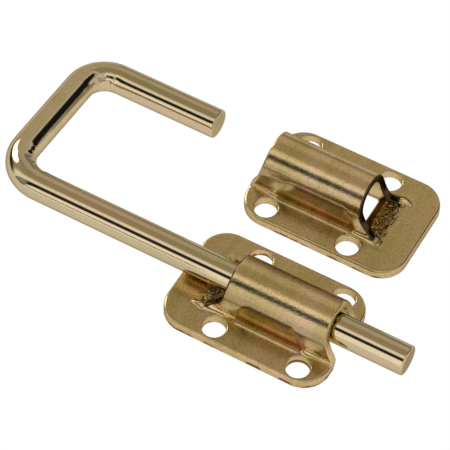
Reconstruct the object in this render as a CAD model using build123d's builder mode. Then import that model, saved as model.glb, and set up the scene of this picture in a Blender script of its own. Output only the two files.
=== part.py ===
from build123d import *
from math import asin, degrees
import os

os.makedirs("parts", exist_ok=True)

# A toggle bolt latch lying closed on a flat surface, millimetres, +Z up. The origin is the centre of
# the latch plate's screw pattern on its underside, and +X runs along the bolt towards its tip.

# Stamped plates: two of the same pressing, turned end for end
PLATE_LENGTH = 35.2
PLATE_WIDTH = 24.3
SHEET = 2.15
CORNER_RADIUS = 5.6
EDGE_ROLL = 0.4  # rounding that blanking leaves on the upper edges
RIM_ROLL = 0.25  # the same on the rims of the holes
HOLE_SPACING = 18.0
HOLE_RADIUS = 2.35
PATTERN_OFFSET = 3.1  # screw pattern's centre, from the plate's centre towards the open end

# Loop pressed up out of each plate: a round-topped tunnel, open underneath
AXIS_HEIGHT = 6.24
CROWN_RADIUS = 5.4
FOOT_HALF_WIDTH = 6.7
BORE_RADIUS = 3.6
BORE_HEIGHT = 6.45
BORE_FOOT_HALF_WIDTH = 5.0
SLIT_X = 10.4  # the cross cut that frees the loop, at the plate's upper face
SLIT_FOOT_X = 6.8  # the same cut at the underside
SLIT_HALF_WIDTH = 5.9
SLIT_FLARE_X = 7.9
PUNCH_DEPTH = 0.2
PUNCH_HALF_WIDTHS = (5.25, 6.55)  # flank and outer edge of the side punch's imprint
PUNCH_SPANS = {1: (-10.5, 3.2), -1: (-11.5, 5.0)}  # side of the loop: imprint's ends along it

# Bolt: one round rod, bent to a C-shaped handle
ROD_RADIUS = 3.0
ROD_CHAMFER = 0.4
TIP_X = 27.2
SEAM_X = 0.0
SEAM_GAP = 0.02
BEND_X = -60.9  # axis of the handle's cross run
HANDLE_WIDTH = 33.1  # between the axes of the two long runs
HANDLE_END_X = -32.0
BEND_RADII = (7.4, 6.1)

# Places of the plates, each plate's own +X pointing from its open end to its slit
LATCH_FRAME = Plane(origin=(-PATTERN_OFFSET, 0, 0), x_dir=(-1, 0, 0), z_dir=(0, 0, 1))
KEEPER_FRAME = Plane(origin=(-2.1, 29.3, 0), x_dir=(1, 0, 0), z_dir=(0, 0, 1))


def side_view(frame):
    """Plane down a plate's middle, with the plate's length to the right and +Z up."""
    return Plane(origin=frame.origin, x_dir=frame.x_dir, z_dir=-frame.y_dir)


def cross_view(frame, x):
    """Plane across a plate at x, looking along its length."""
    return Plane(origin=frame.origin + frame.x_dir * x, x_dir=frame.y_dir, z_dir=frame.x_dir)


def loop_section():
    """Outside of the loop across the plate, from inside the sheet up over the crown."""
    with BuildSketch() as section:
        with BuildLine():
            crown = CenterArc((0, AXIS_HEIGHT), CROWN_RADIUS, 0, 90)
            flank = Line(crown @ 0, (5.65, 3.5))
            foot = SagittaArc(flank @ 1, (FOOT_HALF_WIDTH, SHEET), -0.25)
            Polyline(foot @ 1, (FOOT_HALF_WIDTH, SHEET / 2), (0, SHEET / 2), crown @ 1)
        make_face()
        mirror(about=Plane.YZ)
    return section.sketch


def tunnel_section():
    """Hollow of the loop across the plate, from under the sheet up to the inner crown."""
    with BuildSketch() as section:
        with BuildLine():
            crown = CenterArc((0, BORE_HEIGHT), BORE_RADIUS, 0, 90)
            flank = Line(crown @ 0, (3.75, 2.6))
            foot = SagittaArc(flank @ 1, (BORE_FOOT_HALF_WIDTH, 0), -0.35)
            Polyline(foot @ 1, (BORE_FOOT_HALF_WIDTH, -1), (0, -1), crown @ 1)
        make_face()
        mirror(about=Plane.YZ)
    return section.sketch


def hollow(frame):
    """Everything removed under and between the loop's feet, up to the sloping face of the slit."""
    slope = ((SLIT_FOOT_X, 0), (SLIT_X, SHEET))
    with BuildPart() as void:
        with BuildSketch(cross_view(frame, -PLATE_LENGTH)):
            add(tunnel_section())
        extrude(amount=PLATE_LENGTH + SLIT_X)

        # The tunnel widens where the loop's flared feet meet the slit
        flare_top = (SLIT_FLARE_X, 1.5 * SHEET)
        with BuildSketch(side_view(frame)):
            with BuildLine():
                Polyline(*slope, (SLIT_X, 1.5 * SHEET), flare_top, slope[0])
            make_face()
        extrude(amount=SLIT_HALF_WIDTH, both=True)

        # The sheet past the slit stays
        with BuildSketch(side_view(frame)):
            with BuildLine():
                Polyline(*slope, (PLATE_LENGTH, SHEET), (PLATE_LENGTH, -1), (SLIT_FOOT_X, -1), slope[0])
            make_face()
        extrude(amount=PLATE_WIDTH, both=True, mode=Mode.SUBTRACT)
    return void.part


def stamped_plate(frame):
    """A plate with its screw holes and its loop."""
    with BuildPart() as plate:
        with BuildSketch(frame):
            RectangleRounded(PLATE_LENGTH, PLATE_WIDTH, CORNER_RADIUS)
            with Locations((-PATTERN_OFFSET, 0)):
                with GridLocations(HOLE_SPACING, HOLE_SPACING, 2, 2):
                    Circle(HOLE_RADIUS, mode=Mode.SUBTRACT)
        extrude(amount=SHEET)
        upper_edges = plate.faces().sort_by(Axis.Z)[-1].edges()
        fillet(upper_edges.filter_by(lambda edge: not edge.is_closed), EDGE_ROLL)
        fillet(upper_edges.filter_by(lambda edge: edge.is_closed), RIM_ROLL)

        # The loop, before its ends are trimmed
        with BuildSketch(cross_view(frame, -PLATE_LENGTH / 2)):
            add(loop_section())
        extrude(amount=PLATE_LENGTH / 2 + SLIT_X)

        # Side punches square the flanks between the flared ends
        inner, outer = PUNCH_HALF_WIDTHS
        for side, (start, end) in PUNCH_SPANS.items():
            with BuildSketch(frame.offset(SHEET - PUNCH_DEPTH)):
                with Locations(((start + end) / 2, side * (inner + outer) / 2)):
                    Rectangle(end - start, outer - inner)
            extrude(amount=CROWN_RADIUS, mode=Mode.SUBTRACT)

        # Both ends of the loop lean back towards the crown
        top = AXIS_HEIGHT + CROWN_RADIUS + 1
        with BuildSketch(side_view(frame)):
            with BuildLine():
                slit_end = Spline((SLIT_X, SHEET), (8.4, 3.3), (7.0, 5.7), (6.1, 8.7), (5.9, top))
                Polyline(slit_end @ 1, (PLATE_LENGTH, top), (PLATE_LENGTH, SHEET), slit_end @ 0)
            make_face()
            with BuildLine():
                open_end = ThreePointArc((-PLATE_LENGTH / 2, SHEET), (-15.7, 6.8), (-14.6, top))
                Polyline(open_end @ 1, (-PLATE_LENGTH, top), (-PLATE_LENGTH, SHEET), open_end @ 0)
            make_face()
        extrude(amount=PLATE_WIDTH, both=True, mode=Mode.SUBTRACT)

        add(hollow(frame), mode=Mode.SUBTRACT)
    return plate


latch_plate = stamped_plate(LATCH_FRAME)
latch_plate.part.label = "latch_plate"
export_step(latch_plate.part, "parts/latch_plate.step")

keeper_plate = stamped_plate(KEEPER_FRAME)
keeper_plate.part.label = "keeper_plate"
export_step(keeper_plate.part, "parts/keeper_plate.step")

# The front end of the rod, from the seam inside the loop to the tip
with BuildPart() as bolt_tip:
    with BuildSketch(Plane.YZ.offset(SEAM_X)):
        with Locations((0, AXIS_HEIGHT)):
            Circle(ROD_RADIUS)
    extrude(amount=TIP_X - SEAM_X)
    chamfer(bolt_tip.faces().sort_by(Axis.X)[-1].edges(), ROD_CHAMFER)
bolt_tip.part.label = "bolt_tip"
export_step(bolt_tip.part, "parts/bolt_tip.step")

# The rest of the rod: straight run, cross run and free run, drooping until the free run lies on
# the surface that the plates lie on
droop = asin((AXIS_HEIGHT - ROD_RADIUS) / HANDLE_WIDTH)
handle_plane = Plane.XY.offset(AXIS_HEIGHT).rotated((-degrees(droop), 0, 0))
with BuildPart() as bolt_handle:
    with BuildLine(handle_plane):
        start = (SEAM_X - SEAM_GAP, 0)
        corners = ((BEND_X, 0), (BEND_X, HANDLE_WIDTH))
        end = (HANDLE_END_X, HANDLE_WIDTH)
        FilletPolyline(start, *corners, end, radius=BEND_RADII)
    with BuildSketch(Plane.YZ.offset(SEAM_X - SEAM_GAP)):
        with Locations((0, AXIS_HEIGHT)):
            Circle(ROD_RADIUS)
    sweep()
    chamfer(bolt_handle.faces().filter_by(Axis.X).sort_by(Axis.Y)[-1].edges(), ROD_CHAMFER)
bolt_handle.part.label = "bolt_handle"
export_step(bolt_handle.part, "parts/bolt_handle.step")
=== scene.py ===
import math

import bpy
import numpy as np
from mathutils import Matrix, Vector


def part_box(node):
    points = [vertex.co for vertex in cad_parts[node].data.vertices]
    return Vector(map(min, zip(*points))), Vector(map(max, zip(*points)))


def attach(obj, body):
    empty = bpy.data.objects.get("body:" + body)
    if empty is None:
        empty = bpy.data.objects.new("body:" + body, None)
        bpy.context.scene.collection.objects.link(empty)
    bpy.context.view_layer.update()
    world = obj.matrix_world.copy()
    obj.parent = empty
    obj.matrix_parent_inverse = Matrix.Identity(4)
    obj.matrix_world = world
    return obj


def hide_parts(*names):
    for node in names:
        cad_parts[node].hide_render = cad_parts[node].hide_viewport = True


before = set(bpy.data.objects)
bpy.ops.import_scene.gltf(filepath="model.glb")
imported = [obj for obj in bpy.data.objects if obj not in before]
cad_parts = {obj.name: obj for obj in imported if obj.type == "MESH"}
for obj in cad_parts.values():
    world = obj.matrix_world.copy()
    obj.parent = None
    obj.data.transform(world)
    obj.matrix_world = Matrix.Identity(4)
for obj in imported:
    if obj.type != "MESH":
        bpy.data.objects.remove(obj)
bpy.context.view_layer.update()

MM = 0.001

# ---------------------------------------------------------------- sizes, in millimetres, as in the CAD
PLATE_LENGTH = 35.2
PLATE_WIDTH = 24.3
SHEET = 2.15
CORNER_RADIUS = 5.6
HOLE_SPACING = 18.0
HOLE_RADIUS = 2.35
PATTERN_OFFSET = 3.1
AXIS_HEIGHT = 6.24
CROWN_RADIUS = 5.4
BORE_HEIGHT = 6.45
SLIT_X = 10.4
PUNCH_SPANS = {1: (-10.5, 3.2), -1: (-11.5, 5.0)}  # side of the loop: imprint's ends along it
ROD_RADIUS = 3.0
ROD_CHAMFER = 0.4
SEAM_GAP = 0.02  # between the rod's two parts
HANDLE_WIDTH = 33.1
HANDLE_END_X = -32.0
BEND_RADII = (7.4, 6.1)

# ---------------------------------------------------------------- the pressing's finer shape, in millimetres
BORE_RADIUS = 3.7  # 3.6 in the CAD
SLIT_FOOT_X = 5.1  # 6.8 in the CAD
SLIT_END_X = 5.9  # the loop's end over the slit, near the crown
SLIT_END_SWEEP = 4.4  # how much further out its foot is
OPEN_END_X = -14.9  # the same two for the loop's open end
OPEN_END_SWEEP = 2.8
PRESSED_HALF_WIDTH = 5.22  # of the loop, where the punch pressed its sides in
PUNCH_TOP = 8.5
GROOVE_DEPTH = 0.50  # of the imprint beside the loop
RIDGE_HEIGHT = 0.20  # of the metal that it raised
BURR_ALONG = 0.85  # heights of the burrs along and across the plate, at the slit's ends
BURR_ACROSS = 0.40
TORN_LUMPS = 0.30  # heights of the torn face's larger and smaller lumps
TORN_CRUMBS = 0.24
ROLLED_EDGE = 0.8  # widths over which edges are rounded: the plate's upper edge,
CRISP_EDGE = 0.3  # its underside, its holes and the slit's slope,
LOOP_EDGE = 0.45  # and the loop's ends

# ---------------------------------------------------------------- the pressed plates


def smooth_min(a, b, k):
    """Union of two fields, with the corner between them filled over a width k."""
    h = np.maximum(k - np.abs(a - b), 0) / k
    return np.minimum(a, b) - h * h * k / 4


def smooth_max(a, b, k):
    """Intersection of two fields, with the edge between them rounded over a width k."""
    return -smooth_min(-a, -b, k)


def smooth_step(x, low, high):
    """0 below low, 1 above high, and a smooth rise between them."""
    t = np.clip((x - low) / (high - low), 0, 1)
    return t * t * (3 - 2 * t)


def smooth_fall(x, low, high):
    """1 below low, 0 above high, and a smooth fall between them."""
    return 1 - smooth_step(x, low, high)


class Lumps:
    """Seeded value noise in three dimensions, -1 to 1, with lumps about `size` across."""

    def __init__(self, seed, size):
        self.size = size
        self.cells = np.random.default_rng(seed).uniform(-1, 1, (32, 32, 32))

    def __call__(self, x, y, z):
        p = [np.asarray(c) / self.size for c in (x, y, z)]
        base = [np.floor(c).astype(int) for c in p]
        part = [smooth_step(c - b, 0, 1) for c, b in zip(p, base)]
        total = 0
        for dx in (0, 1):
            for dy in (0, 1):
                for dz in (0, 1):
                    w = 1
                    for d, f in zip((dx, dy, dz), part):
                        w = w * (f if d else 1 - f)
                    i, j, k = ((b + d) % 32 for b, d in zip(base, (dx, dy, dz)))
                    total = total + w * self.cells[i, j, k]
        return total


grit = Lumps(3, 0.55)
crumbs = Lumps(4, 0.24)


def slope_x(z):
    """X of the slit's sloping face."""
    return SLIT_FOOT_X + (SLIT_X - SLIT_FOOT_X) * z / SHEET


def slit_end(z):
    """X of the loop's end over the slit, which sweeps out towards its foot."""
    return SLIT_END_X + SLIT_END_SWEEP * np.exp(-(np.maximum(z, SHEET) - SHEET) / 2.2)


def open_end(z):
    """X of the loop's open end, which sweeps out to the plate's edge."""
    return OPEN_END_X - OPEN_END_SWEEP * np.exp(-(np.maximum(z, SHEET) - SHEET) / 4.2)


def shear_height(y):
    """Height on the slit's sloping face where its smooth sheared part ends and its torn part starts."""
    return 0.75 + 0.5 * smooth_step(-y, 0.5, 4.5)


def torn(x, y, z):
    """How much a place belongs to the torn upper part of the slit's sloping face, 0 to 1."""
    near = smooth_fall(np.abs(x - slope_x(z)), 0.6, 1.2)
    across = smooth_fall(np.abs(y), 5.4, 6.2)
    start = shear_height(y)
    return near * across * smooth_step(z, start, start + 0.25) * smooth_fall(z, 2.05, 2.35)


def sheared_and_shaded(x, y, z):
    """How much a place belongs to the smooth sheared faces, 0 to 1; the sheet darkens them there, partly
    with painted shade.
    """
    # the lower part of the slit's sloping face
    top = shear_height(y)
    lower = smooth_step(z, 0.22, 0.42) * smooth_fall(z, top, top + 0.2)
    lower = lower * smooth_fall(np.abs(x - slope_x(z)), 0.5, 1.0) * (np.abs(y) < 5.6)

    # the end of the loop over the slit
    end = slit_end(z)
    arch = smooth_step(x, end - 0.45, end - 0.2) * smooth_fall(x, end + 0.3, end + 0.6)
    arch = arch * smooth_step(z, 2.35, 2.7) * (np.abs(y) < 6.3)
    return np.maximum(lower, arch)


def side_punch(x, y, side):
    """How much a place lies where the punch pressed along one side of the loop, 0 to 1."""
    start, end = PUNCH_SPANS[side]
    along = smooth_step(x, start - 0.5, start + 0.5) * smooth_fall(x, end - 0.5, end + 0.5)
    return along * (side * y > 0)


def top_height(x, y):
    """Height of the plate's upper face: flat, but for the punches' imprints and the slit's burrs."""
    out = np.abs(y)
    groove = smooth_fall(out, 5.40, 5.80)
    ridge = smooth_step(out, 5.65, 5.95) * smooth_fall(out, 6.05, 6.75)
    dip = (GROOVE_DEPTH * groove - RIDGE_HEIGHT * ridge) * (side_punch(x, y, 1) + side_punch(x, y, -1))

    # burrs that stand up at the ends of the slit: one along the plate, one across it
    along = np.exp(-(((y - 5.9) / 0.42) ** 2)) * smooth_step(x, 9.6, 10.4) * smooth_fall(x, 10.6, 13.0)
    across = np.exp(-(((x - 11.0) / 0.3) ** 2)) * smooth_step(y, -6.4, -5.9) * smooth_fall(y, -5.2, -4.2)
    return SHEET - dip + BURR_ALONG * along + BURR_ACROSS * across


def plate_outline(x, y):
    """Signed distance from the plate's round-cornered outline, negative inside."""
    qx = np.abs(x) - (PLATE_LENGTH / 2 - CORNER_RADIUS)
    qy = np.abs(y) - (PLATE_WIDTH / 2 - CORNER_RADIUS)
    straight_side = np.minimum(np.maximum(qx, qy), 0)
    return np.hypot(np.maximum(qx, 0), np.maximum(qy, 0)) + straight_side - CORNER_RADIUS


def loop_field(x, y, z, near_slit):
    """The loop without its tunnel: a round-topped arch with curved ends, pressed in along its sides."""
    spread = 0.5 * near_slit * smooth_fall(z, 2.0, 3.4)
    outer = np.hypot(y, np.maximum(z - AXIS_HEIGHT, 0)) - CROWN_RADIUS - spread
    loop = smooth_max(outer, (x - slit_end(z)) * 0.8, LOOP_EDGE)
    loop = smooth_max(loop, (open_end(z) - x) * 0.9, LOOP_EDGE)
    for side, (start, end) in PUNCH_SPANS.items():
        lean = 0.45 * (np.clip(z, 2, 9) - 4.5)  # the imprint is shorter towards the crown
        along = np.maximum(start - x + lean, x - end + lean) * 0.9
        punch = smooth_max(along, PRESSED_HALF_WIDTH - side * y, 1.4)
        loop = smooth_max(loop, -smooth_max(punch, z - PUNCH_TOP, 1.0), 0.35)
    return loop


def tunnel_field(y, z, near_slit):
    """The tunnel under the loop, which flares at its foot and towards the slit."""
    flare = 1.3 * smooth_fall(z, 0.0, 3.4) + 0.75 * near_slit * smooth_fall(z, 2.2, 4.2)
    return np.hypot(y, np.maximum(z - BORE_HEIGHT, 0)) - BORE_RADIUS - flare


def plate_field(x, y, z):
    """Signed field of a plate, millimetres, negative inside. +x runs from its open end to its slit."""
    outline = plate_outline(x, y)
    near_slit = smooth_step(x, 7.0, 10.0)
    blank = smooth_max(outline, z - top_height(x, y), ROLLED_EDGE)

    # the loop joins the blank more softly at its ends than beside the punches
    at_ends = smooth_step(np.abs(x + 3.0), 7.0, 9.0) * (1 - 0.6 * smooth_step(-x, 11.5, 15.0))
    body = smooth_min(blank, loop_field(x, y, z, near_slit), 0.4 + 1.2 * at_ends)
    body = smooth_max(body, outline, CRISP_EDGE)

    # the slit's sloping face ends the tunnel in the plate
    tunnel = smooth_max(tunnel_field(y, z, near_slit), (x - slope_x(z)) * 0.75, CRISP_EDGE)
    body = smooth_max(body, -tunnel, 0.4)

    # screw holes
    for hx in (-PATTERN_OFFSET - HOLE_SPACING / 2, -PATTERN_OFFSET + HOLE_SPACING / 2):
        for hy in (-HOLE_SPACING / 2, HOLE_SPACING / 2):
            body = smooth_max(body, HOLE_RADIUS - np.hypot(x - hx, y - hy), CRISP_EDGE)

    body = smooth_max(body, -z, CRISP_EDGE)
    return body + torn(x, y, z) * (TORN_LUMPS * grit(x, y, z) + TORN_CRUMBS * crumbs(x, y, z))


def surface_nets(field, low, high, step):
    """Quads near the zero surface of a field: one vertex per crossed cell, at the mean of its crossings."""
    axes = [np.arange(a, b + step, step) for a, b in zip(low, high)]
    grid = np.meshgrid(*axes, indexing="ij")
    f = field(*grid)
    inside = f < 0
    shape = np.array(f.shape) - 1
    total = np.zeros((*shape, 3))
    count = np.zeros(shape)
    offsets = [(0, 0), (0, 1), (1, 0), (1, 1)]
    for axis in range(3):
        others = [a for a in range(3) if a != axis]
        n = np.array(f.shape)
        first = [slice(None)] * 3
        second = [slice(None)] * 3
        first[axis] = slice(0, n[axis] - 1)
        second[axis] = slice(1, n[axis])
        fa, fb = f[tuple(first)], f[tuple(second)]
        crossed = inside[tuple(first)] != inside[tuple(second)]
        t = np.where(crossed, fa / np.where(crossed, fa - fb, 1), 0)
        for du, dv in offsets:
            cell = [slice(None)] * 3
            cell[others[0]] = slice(du, du + shape[others[0]])
            cell[others[1]] = slice(dv, dv + shape[others[1]])
            hit = crossed[tuple(cell)]
            count += hit
            place = [0, 0, 0]
            place[axis] = t[tuple(cell)]
            place[others[0]], place[others[1]] = du, dv
            for a in range(3):
                total[..., a] += hit * place[a]
    used = count > 0
    index = -np.ones(shape, int)
    index[used] = np.arange(used.sum())
    cells = np.argwhere(used)
    points = (cells + total[used] / count[used][:, None]) * step + np.array(low)

    quads = []
    for axis in range(3):
        u, v = [(1, 2), (2, 0), (0, 1)][axis]
        n = np.array(f.shape)
        lo = [slice(1, n[a] - 1) for a in range(3)]
        lo[axis] = slice(0, n[axis] - 1)
        hi = list(lo)
        hi[axis] = slice(1, n[axis])
        a_in, b_in = inside[tuple(lo)], inside[tuple(hi)]
        for outward, flip in ((a_in & ~b_in, False), (~a_in & b_in, True)):
            at = np.argwhere(outward)
            at[:, u] += 1
            at[:, v] += 1
            corners = []
            for du, dv in ((1, 1), (0, 1), (0, 0), (1, 0)):
                c = at.copy()
                c[:, u] -= du
                c[:, v] -= dv
                corners.append(index[c[:, 0], c[:, 1], c[:, 2]])
            quad = np.stack(corners, axis=1)
            quads.append(quad[:, ::-1] if flip else quad)
    return points, np.concatenate(quads)


def slope_of(field, p, e=0.02):
    """Gradient of a field at points p."""
    x, y, z = p.T
    return np.stack(
        [
            field(x + e, y, z) - field(x - e, y, z),
            field(x, y + e, z) - field(x, y - e, z),
            field(x, y, z + e) - field(x, y, z - e),
        ],
        axis=1,
    ) / (2 * e)


def settle(field, points, most):
    """Moves points onto the field's zero surface, each by at most `most`, and gives their normals."""
    start = points.copy()
    for _ in range(4):
        g = slope_of(field, points)
        length = np.maximum(np.linalg.norm(g, axis=1), 0.2)
        points = points - (field(*points.T) / length**2)[:, None] * g
        shift = points - start
        far = np.maximum(np.linalg.norm(shift, axis=1) / most, 1)
        points = start + shift / far[:, None]
    g = slope_of(field, points)
    return points, g / np.maximum(np.linalg.norm(g, axis=1), 1e-6)[:, None]


def make_mesh(name, points, faces, normals=None):
    """A smooth-shaded object from points in metres, with the points' normals if they are given."""
    mesh = bpy.data.meshes.new(name)
    mesh.from_pydata(np.asarray(points).tolist(), [], [list(map(int, f)) for f in faces])
    mesh.update()
    mesh.polygons.foreach_set("use_smooth", np.ones(len(mesh.polygons), bool))
    if normals is not None:
        mesh.normals_split_custom_set_from_vertices([tuple(n) for n in normals])
    piece = bpy.data.objects.new(name, mesh)
    bpy.context.scene.collection.objects.link(piece)
    return piece


STEP = 0.2
margin = 3 * STEP
low = (-PLATE_LENGTH / 2 - margin, -PLATE_WIDTH / 2 - margin, -margin)
high = (PLATE_LENGTH / 2 + margin, PLATE_WIDTH / 2 + margin, AXIS_HEIGHT + CROWN_RADIUS + margin)
plate_points, plate_faces = surface_nets(plate_field, low, high, STEP)
plate_points, plate_normals = settle(plate_field, plate_points, 0.6 * STEP)
marks_and_shade_on_plate = {"torn": torn(*plate_points.T), "sheared_and_shaded": sheared_and_shaded(*plate_points.T)}


def plate_piece(name, node, turned):
    """One plate, in the place of its CAD node. turned puts its open end towards +X."""
    lowest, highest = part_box(node)
    middle = np.array([(lowest.x + highest.x) / 2, (lowest.y + highest.y) / 2, 0])
    sign = -1 if turned else 1
    turn = np.array([sign, sign, 1])
    piece = make_mesh(name, plate_points * turn * MM + middle, plate_faces, plate_normals * turn)
    for label, amount in marks_and_shade_on_plate.items():
        mark = piece.data.attributes.new(label, "FLOAT", "POINT")
        mark.data.foreach_set("value", amount.astype(np.float32))
    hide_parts(node)
    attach(piece, "plates")
    return piece


# ---------------------------------------------------------------- the bolt
# the handle's plane slopes down from the loop until the free leg lies on the floor
DROOP = math.asin((AXIS_HEIGHT - ROD_RADIUS) / HANDLE_WIDTH)
ALONG = np.array([1.0, 0.0, 0.0])
ACROSS = np.array([0.0, math.cos(DROOP), -math.sin(DROOP)])
LIFT = np.array([0.0, math.sin(DROOP), math.cos(DROOP)])
NICKS = ((-16.4, 1.50, 0.055), (-14.5, 1.57, 0.06), (11.8, 1.20, 0.07), (12.5, 1.45, 0.05))  # x, turn, depth
NICK_LENGTH = 0.42
NICK_WIDTH = 0.40
AROUND = 96  # points in each ring of the rod
FADE = 6  # path points over which a bend fades in and out
puckers = Lumps(5, 1.5)


def straight(a, b, spacing):
    """Points in the handle's plane from a to b, spacing apart or a little more."""
    a, b = np.array(a, float), np.array(b, float)
    return a + np.linspace(0, 1, max(2, int(np.linalg.norm(b - a) / spacing) + 1))[:, None] * (b - a)


def bend(centre, radius, start, end, count):
    """Points round an arc in the handle's plane, from one angle to another."""
    angles = np.radians(np.linspace(start, end, count))
    return np.array(centre) + radius * np.column_stack([np.cos(angles), np.sin(angles)])


def rod_piece(name, node, body, path, bent, start_chamfer, end_chamfer):
    """A round rod along points in the handle's plane. bent says how much each point is in a bend, 0 to 1.

    An end whose chamfer is 0 is cut flat, to meet the rod's other part.
    """
    tangent = np.gradient(path, axis=0)
    tangent /= np.linalg.norm(tangent, axis=1)[:, None]
    side = np.column_stack([-tangent[:, 1], tangent[:, 0]])
    turn = np.linspace(0, 2 * math.pi, AROUND, endpoint=False)
    inner = np.maximum(np.cos(turn - 0.80 * math.pi), 0) ** 1.5  # a bend's inner, upper side
    rings = []
    for p, s, b in zip(path, side, bent):
        centre = p[0] * ALONG + p[1] * ACROSS + np.array([0, 0, AXIS_HEIGHT])
        radius = np.full(AROUND, ROD_RADIUS)
        radius += b * inner * (0.05 + 0.20 * puckers(p[0] + 0 * turn, p[1] + 0 * turn, 3 * turn))
        if abs(p[1]) < 0.01:
            for x, at, depth in NICKS:
                reach = ((p[0] - x) / NICK_LENGTH) ** 2 + ((turn - at) * ROD_RADIUS / NICK_WIDTH) ** 2
                radius -= depth * np.exp(-reach)
        out = s[0] * ALONG + s[1] * ACROSS
        rings.append(centre + radius[:, None] * (np.cos(turn)[:, None] * out + np.sin(turn)[:, None] * LIFT))

    def cap(ring, direction, chamfer):
        """Rings that close an end: its worn chamfer, if any, then the sawn face drawn in to its middle."""
        centre = ring.mean(0)
        extra = []
        if chamfer:
            for t in np.linspace(0, math.pi / 2, 5)[1:]:
                shrink = 1 - chamfer * (1 - math.cos(t)) / ROD_RADIUS
                extra.append(centre + (ring - centre) * shrink + direction * chamfer * math.sin(t))
        last = extra[-1] if extra else ring
        middle = last.mean(0)
        for t in (0.97, 0.85, 0.6, 0.3, 0.02):
            extra.append(middle + (last - middle) * t)
        return extra

    ahead = tangent[:, :1] * ALONG + tangent[:, 1:] * ACROSS
    start_cap = cap(rings[0], -ahead[0], start_chamfer)[::-1]
    end_cap = cap(rings[-1], ahead[-1], end_chamfer)
    first, last = len(start_cap), len(start_cap) + len(rings) - 1
    flat_rims = [ring for ring, chamfer in ((first, start_chamfer), (last, end_chamfer)) if not chamfer]
    rings = start_cap + rings + end_cap
    faces = []
    for i in range(len(rings) - 1):
        for j in range(AROUND):
            k = (j + 1) % AROUND
            faces.append((i * AROUND + j, i * AROUND + k, (i + 1) * AROUND + k, (i + 1) * AROUND + j))
    faces.append(tuple(range(AROUND))[::-1])
    faces.append(tuple(range((len(rings) - 1) * AROUND, len(rings) * AROUND)))
    piece = make_mesh(name, np.concatenate(rings) * MM, faces)
    # where the two parts meet, their rims are sharp, so they shade as one rod
    for edge in piece.data.edges:
        ring, other = (v // AROUND for v in edge.vertices)
        edge.use_edge_sharp = ring == other and ring in flat_rims
    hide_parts(node)
    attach(piece, body)
    return piece


def make_bolt():
    """The bent rod, in the two parts that the joints need; they meet face to face inside the loop."""
    tip_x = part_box("bolt_tip")[1].x / MM
    cross_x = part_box("bolt_handle")[0].x / MM + ROD_RADIUS
    near, far = BEND_RADII
    front = straight((tip_x - ROD_CHAMFER, 0), (0, 0), 0.25)
    tip = rod_piece("bolt_front", "bolt_tip", "bolt", front, np.zeros(len(front)), ROD_CHAMFER, 0)
    runs = [
        straight((-SEAM_GAP, 0), (cross_x + near, 0), 0.3)[:-1],
        bend((cross_x + near, near), near, -90, -180, 40),
        straight((cross_x, near), (cross_x, HANDLE_WIDTH - far), 0.5)[1:-1],
        bend((cross_x + far, HANDLE_WIDTH - far), far, 180, 90, 36),
        straight((cross_x + far, HANDLE_WIDTH), (HANDLE_END_X - ROD_CHAMFER, HANDLE_WIDTH), 0.5)[1:],
    ]
    path = np.concatenate(runs)
    bent = np.concatenate([np.full(len(r), float(i in (1, 3))) for i, r in enumerate(runs)])
    window = np.hanning(2 * FADE + 3)  # its two end weights are 0 and are left out
    bent = np.convolve(np.pad(bent, FADE, mode="edge"), window[1:-1] / window.sum(), mode="valid")
    handle = rod_piece("bolt_rear", "bolt_handle", "handle", path, bent, 0, ROD_CHAMFER)
    return tip, handle


latch = plate_piece("latch_pressing", "latch_plate", turned=True)
keeper = plate_piece("keeper_pressing", "keeper_plate", turned=False)
tip, handle = make_bolt()


# ---------------------------------------------------------------- materials


def ramp(nt, value, stops):
    """A colour ramp over value, from (position, grey or colour) stops."""
    node = nt.nodes.new("ShaderNodeValToRGB")
    points = node.color_ramp.elements
    while len(points) < len(stops):
        points.new(0.5)
    for point, (place, level) in zip(points, sorted(stops, key=lambda s: s[0])):
        colour = level if isinstance(level, tuple) else (level, level, level)
        point.position = place
        point.color = (*colour, 1)
    nt.links.new(value, node.inputs["Fac"])
    return node.outputs["Color"]


def blended(nt, a, b, by=None, blend="MULTIPLY"):
    """a times b, or another blend of the two; by, where it is given, is how much of it is taken."""
    mix = nt.nodes.new("ShaderNodeMix")
    mix.data_type = "RGBA"
    mix.blend_type = blend
    mix.inputs["Factor"].default_value = 1
    if by is not None:
        nt.links.new(by, mix.inputs["Factor"])
    nt.links.new(a, mix.inputs["A"])
    nt.links.new(b, mix.inputs["B"])
    return mix.outputs["Result"]


def noise(nt, place, scale, detail, squeeze=(1, 1, 1)):
    """A noise value at a place, its scale in lumps per millimetre, times squeeze along each axis."""
    mapping = nt.nodes.new("ShaderNodeMapping")
    mapping.inputs["Scale"].default_value = [scale / MM * f for f in squeeze]
    nt.links.new(place, mapping.inputs["Vector"])
    node = nt.nodes.new("ShaderNodeTexNoise")
    node.inputs["Scale"].default_value = 1
    node.inputs["Detail"].default_value = detail
    node.inputs["Roughness"].default_value = 0.6
    nt.links.new(mapping.outputs["Vector"], node.inputs["Vector"])
    return node.outputs["Fac"]


def mapped(nt, value, from_low, from_high, to_low, to_high):
    """A value's range stretched onto another range."""
    node = nt.nodes.new("ShaderNodeMapRange")
    ends = {"From Min": from_low, "From Max": from_high, "To Min": to_low, "To Max": to_high}
    for name, number in ends.items():
        node.inputs[name].default_value = number
    nt.links.new(value, node.inputs["Value"])
    return node.outputs["Result"]


def bump(nt, height, distance, before=None):
    """A normal roughened by a height, distance in millimetres, on top of the normal before."""
    node = nt.nodes.new("ShaderNodeBump")
    node.inputs["Strength"].default_value = 1
    node.inputs["Distance"].default_value = distance * MM
    nt.links.new(height, node.inputs["Height"])
    if before is not None:
        nt.links.new(before, node.inputs["Normal"])
    return node.outputs["Normal"]


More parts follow.
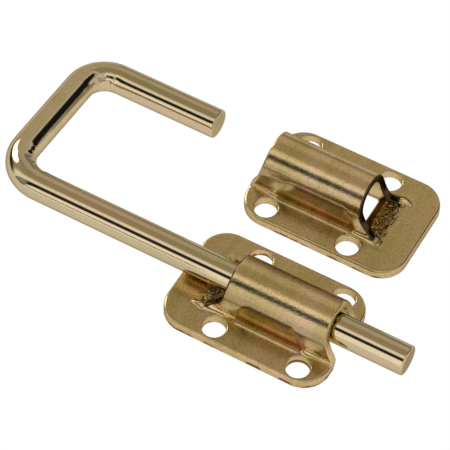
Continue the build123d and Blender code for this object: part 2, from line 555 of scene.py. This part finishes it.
def zinc(name, shades, roughness, speckle, grain_low, drawn):
    """Yellow-passivated zinc: gold that drifts to olive and pink, speckled, with drawing marks.

    speckle is the height of the bumps in millimetres, and drawn squeezes the marks along each axis.
    """
    mat = bpy.data.materials.new(name)
    mat.use_nodes = True
    nt = mat.node_tree
    bsdf = nt.nodes["Principled BSDF"]
    bsdf.inputs["Metallic"].default_value = 1
    bsdf.inputs["Specular Tint"].default_value = (0.50, 0.45, 0.36, 1)
    place = nt.nodes.new("ShaderNodeTexCoord").outputs["Object"]
    clouds = noise(nt, place, 0.22, 3, [min(d, 1) for d in drawn])
    drift = ramp(nt, clouds, list(zip((0.36, 0.50, 0.64), shades)))
    marks = ramp(nt, noise(nt, place, 3.4, 2), [(0.30, grain_low), (0.5, 1.0)])
    nt.links.new(blended(nt, drift, marks), bsdf.inputs["Base Color"])
    wear = mapped(nt, noise(nt, place, 0.9, 3), 0.3, 0.7, roughness * 0.8, roughness * 1.25)
    nt.links.new(wear, bsdf.inputs["Roughness"])
    normal = bump(nt, noise(nt, place, 2.6, 2), speckle)
    normal = bump(nt, noise(nt, place, 1.6, 2, drawn), speckle * 0.6, normal)
    nt.links.new(normal, bsdf.inputs["Normal"])
    return mat, nt, bsdf, place


def tint(nt, bsdf, colour, by=None):
    """Multiplies a material's colour by another, or as much of that as the value by says."""
    before = bsdf.inputs["Base Color"].links[0].from_socket
    nt.links.new(blended(nt, before, colour, by=by), bsdf.inputs["Base Color"])


def attribute(nt, label):
    """A value that the mesh carries at each of its points."""
    node = nt.nodes.new("ShaderNodeAttribute")
    node.attribute_name = label
    return node.outputs["Fac"]


def make_sheet():
    """The plates' metal: satin, with a torn look and a dark sheared look, partly painted shade, where the
    meshes say so, and painted light and shade by height.
    """
    shades = ((0.64, 0.50, 0.215), (0.74, 0.55, 0.26), (0.81, 0.58, 0.34))
    mat, nt, bsdf, place = zinc("zinc_sheet", shades, 0.205, 0.020, 0.64, (1.6, 0.12, 0.12))
    specks = ramp(nt, noise(nt, place, 2.2, 3), [(0.42, (0.17, 0.15, 0.13)), (0.60, (1.14, 1.20, 1.20))])
    tint(nt, bsdf, specks, by=attribute(nt, "torn"))
    # the sheared faces darkened to near black: bare sheared metal, deepened with painted shade
    tint(nt, bsdf, ramp(nt, attribute(nt, "sheared_and_shaded"), [(0.2, 1.0), (0.8, (0.13, 0.115, 0.10))]))

    # painted light and shade by height: lighter at the loop's foot and crown, darker on its upper sides
    split = nt.nodes.new("ShaderNodeSeparateXYZ")
    nt.links.new(place, split.inputs[0])
    height = mapped(nt, split.outputs["Z"], 0, 12 * MM, 0, 1)
    painted_light_by_height = [(0.22, 1.0), (0.30, 1.08), (0.42, 0.98), (0.55, 0.74), (0.78, 0.74), (0.93, 1.12)]
    tint(nt, bsdf, ramp(nt, height, painted_light_by_height))

    # dark brown patches here and there along the lower edge, more on the latch than on the keeper
    low = ramp(nt, mapped(nt, split.outputs["Z"], 0, 2 * MM, 0, 1), [(0.0, 1.0), (0.70, 0.0)])
    patch = ramp(nt, noise(nt, place, 0.16, 4), [(0.42, 0.0), (0.62, 1.0)])
    latch_side = mapped(nt, split.outputs["Y"], 12 * MM, 20 * MM, 1.0, 0.3)
    low_dark_patches = blended(nt, low, blended(nt, patch, latch_side))
    tint(nt, bsdf, ramp(nt, low_dark_patches, [(0.17, 1.0), (0.25, (0.42, 0.24, 0.08))]))
    return mat


def make_rod_metal():
    """The rod's metal: smoother, with fine marks along it."""
    shades = ((0.67, 0.57, 0.32), (0.74, 0.60, 0.37), (0.80, 0.60, 0.39))
    return zinc("zinc_rod", shades, 0.088, 0.0020, 0.86, (0.08, 1.6, 1.6))[0]


sheet_metal = make_sheet()
rod_metal = make_rod_metal()

for piece in (latch, keeper):
    piece.data.materials.append(sheet_metal)
for piece in (tip, handle):
    piece.data.materials.append(rod_metal)
# the CAD nodes that they stand for have the same metals
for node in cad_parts.values():
    node.data.materials.clear()
    node.data.materials.append(rod_metal if node.name.startswith("bolt") else sheet_metal)

# ---------------------------------------------------------------- camera
CAMERA_AZIMUTH = 28.77
CAMERA_ELEVATION = 53.92
CAMERA_ROLL = 1.18
CAMERA_DISTANCE = 480.0 * MM
CAMERA_TARGET = Vector((-18.66, 12.05, 3.0)) * MM
LENS = 198.5


def make_camera():
    """The camera, placed and turned for the photograph's view."""
    camera = bpy.data.objects.new("camera", bpy.data.cameras.new("camera"))
    bpy.context.scene.collection.objects.link(camera)
    a, e = math.radians(CAMERA_AZIMUTH), math.radians(CAMERA_ELEVATION)
    back = Vector((math.sin(a) * math.cos(e), -math.cos(a) * math.cos(e), math.sin(e)))
    turn = (-back).to_track_quat("-Z", "Y").to_matrix() @ Matrix.Rotation(math.radians(CAMERA_ROLL), 3, "Z")
    camera.matrix_world = Matrix.Translation(CAMERA_TARGET + back * CAMERA_DISTANCE) @ turn.to_4x4()
    camera.data.lens = LENS
    camera.data.sensor_width = 36
    camera.data.clip_start = 0.01
    camera.data.clip_end = 100
    bpy.context.scene.camera = camera


make_camera()

# ---------------------------------------------------------------- floor and light, in metres
FLOOR_REACH = 40.0
FLAG_X = (-0.40, -0.075)
FLAG_Y = -0.2
FLAG_Z = (0.036, 0.056)
MIRRORED_LEVEL = 0.76  # levels of light, where the floor's white is 1
LAMP_LEVEL = 3
STUDIO_LEVEL = 1.14  # times the lamp and all the walls


def make_floor():
    """White paper for the camera, and just below it the same paper at the level that the metal mirrors."""
    floors = (("floor", 0.0, 1.0, True), ("floor_mirrored", -0.1 * MM, MIRRORED_LEVEL, False))
    for name, height, level, seen in floors:
        signs = ((-1, -1), (1, -1), (1, 1), (-1, 1))
        corners = [(FLOOR_REACH * x, FLOOR_REACH * y, height) for x, y in signs]
        floor = make_mesh(name, corners, [(0, 1, 2, 3)])
        mat = bpy.data.materials.new(name)
        mat.use_nodes = True
        nt = mat.node_tree
        nt.nodes.clear()
        glow = nt.nodes.new("ShaderNodeEmission")
        glow.inputs["Color"].default_value = (1, 1, 1, 1)
        glow.inputs["Strength"].default_value = level
        nt.links.new(glow.outputs[0], nt.nodes.new("ShaderNodeOutputMaterial").inputs["Surface"])
        floor.data.materials.append(mat)
        floor.visible_camera = seen
        floor.visible_glossy = floor.visible_diffuse = not seen


def along_direction(nt, direction, axis):
    """How far a direction points along an axis, turned into 0 to 1."""
    dot = nt.nodes.new("ShaderNodeVectorMath")
    dot.operation = "DOT_PRODUCT"
    dot.inputs[1].default_value = axis
    nt.links.new(direction, dot.inputs[0])
    return mapped(nt, dot.outputs["Value"], -1, 1, 0, 1)


def make_flag():
    """A narrow black board in front, out of the camera's sight, for the thin dark line along the handle."""
    (left, right), (bottom, top) = FLAG_X, FLAG_Z
    corners = [(left, FLAG_Y, bottom), (right, FLAG_Y, bottom), (right, FLAG_Y, top), (left, FLAG_Y, top)]
    flag = make_mesh("flag", corners, [(0, 1, 2, 3)])
    mat = bpy.data.materials.new("flag")
    mat.use_nodes = True
    bsdf = mat.node_tree.nodes["Principled BSDF"]
    bsdf.inputs["Base Color"].default_value = (0.01, 0.01, 0.01, 1)
    bsdf.inputs["Roughness"].default_value = 1
    flag.data.materials.append(mat)
    flag.visible_camera = False


def wall(nt, toward, stops):
    """Light by how far a direction points along an axis, its stops placed from -1 to 1."""
    return ramp(nt, toward, [((p + 1) / 2, level) for p, level in stops])


def make_world():
    """A studio: a warm grey panel overhead, pale walls, and a short dark gap in front and at the right."""
    world = bpy.data.worlds.new("studio")
    bpy.context.scene.world = world
    world.use_nodes = True
    nt = world.node_tree
    background = nt.nodes["Background"]
    direction = nt.nodes.new("ShaderNodeTexCoord").outputs["Generated"]
    toward_x = along_direction(nt, direction, (1, 0, 0))
    toward_y = along_direction(nt, direction, (0, 1, 0))

    # front to back: white, the dark gap, white, the panel, the back wall, and dark at the very back
    panel, panel_edge = (0.300, 0.272, 0.205), (0.26, 0.235, 0.17)
    back_wall = (0.42, 0.38, 0.30)
    front_to_back = wall(nt, toward_y, [
        (-0.96, 0.93), (-0.80, 0.90), (-0.79, 0.60), (-0.755, 0.02), (-0.55, 0.012), (-0.505, 0.30),
        (-0.465, 0.82), (-0.26, 0.80), (-0.15, back_wall), (-0.04, panel), (0.30, panel), (0.40, panel_edge),
        (0.58, back_wall), (0.85, (0.44, 0.40, 0.33)), (0.95, 0.2),
    ])
    # a grey wall ends the gap on the left and a pale one on the right; the far left is dark
    front_ends = wall(nt, toward_x, [(-0.60, 0.27), (-0.48, 0.0), (0.05, 0.0), (0.25, 0.55)])
    far_left = wall(nt, toward_x, [(-0.96, 0.10), (-0.88, 1.0)])
    front_light = blended(nt, front_to_back, front_ends, blend="LIGHTEN")
    front_light = blended(nt, front_light, far_left)

    # the dark gap at the right, and the pale wall that ends it towards the front
    right_gap = wall(nt, toward_x, [
        (0.26, 1.0), (0.31, 0.9), (0.36, 0.45), (0.42, 0.02), (0.76, 0.015), (0.80, 0.5), (0.84, 1.0),
    ])
    right_end = wall(nt, toward_y, [(0.10, 0.70), (0.28, 0.0)])
    right_light = blended(nt, right_gap, right_end, blend="LIGHTEN")

    # one small lamp, for the white highlight on the bend of the long leg
    toward_lamp = along_direction(nt, direction, (-0.82, 0.32, 0.475))
    lamp = ramp(nt, toward_lamp, [(0.0, 0.0), (0.985, 0.0), (0.988, 1.0)])
    brighter = nt.nodes.new("ShaderNodeMix")
    brighter.data_type = "RGBA"
    brighter.blend_type = "ADD"
    brighter.inputs["Factor"].default_value = LAMP_LEVEL
    brighter.clamp_factor = False
    nt.links.new(blended(nt, front_light, right_light), brighter.inputs["A"])
    nt.links.new(lamp, brighter.inputs["B"])
    nt.links.new(brighter.outputs["Result"], background.inputs["Color"])
    background.inputs["Strength"].default_value = STUDIO_LEVEL


make_floor()
make_flag()
make_world()
bpy.context.scene.view_settings.view_transform = "Standard"
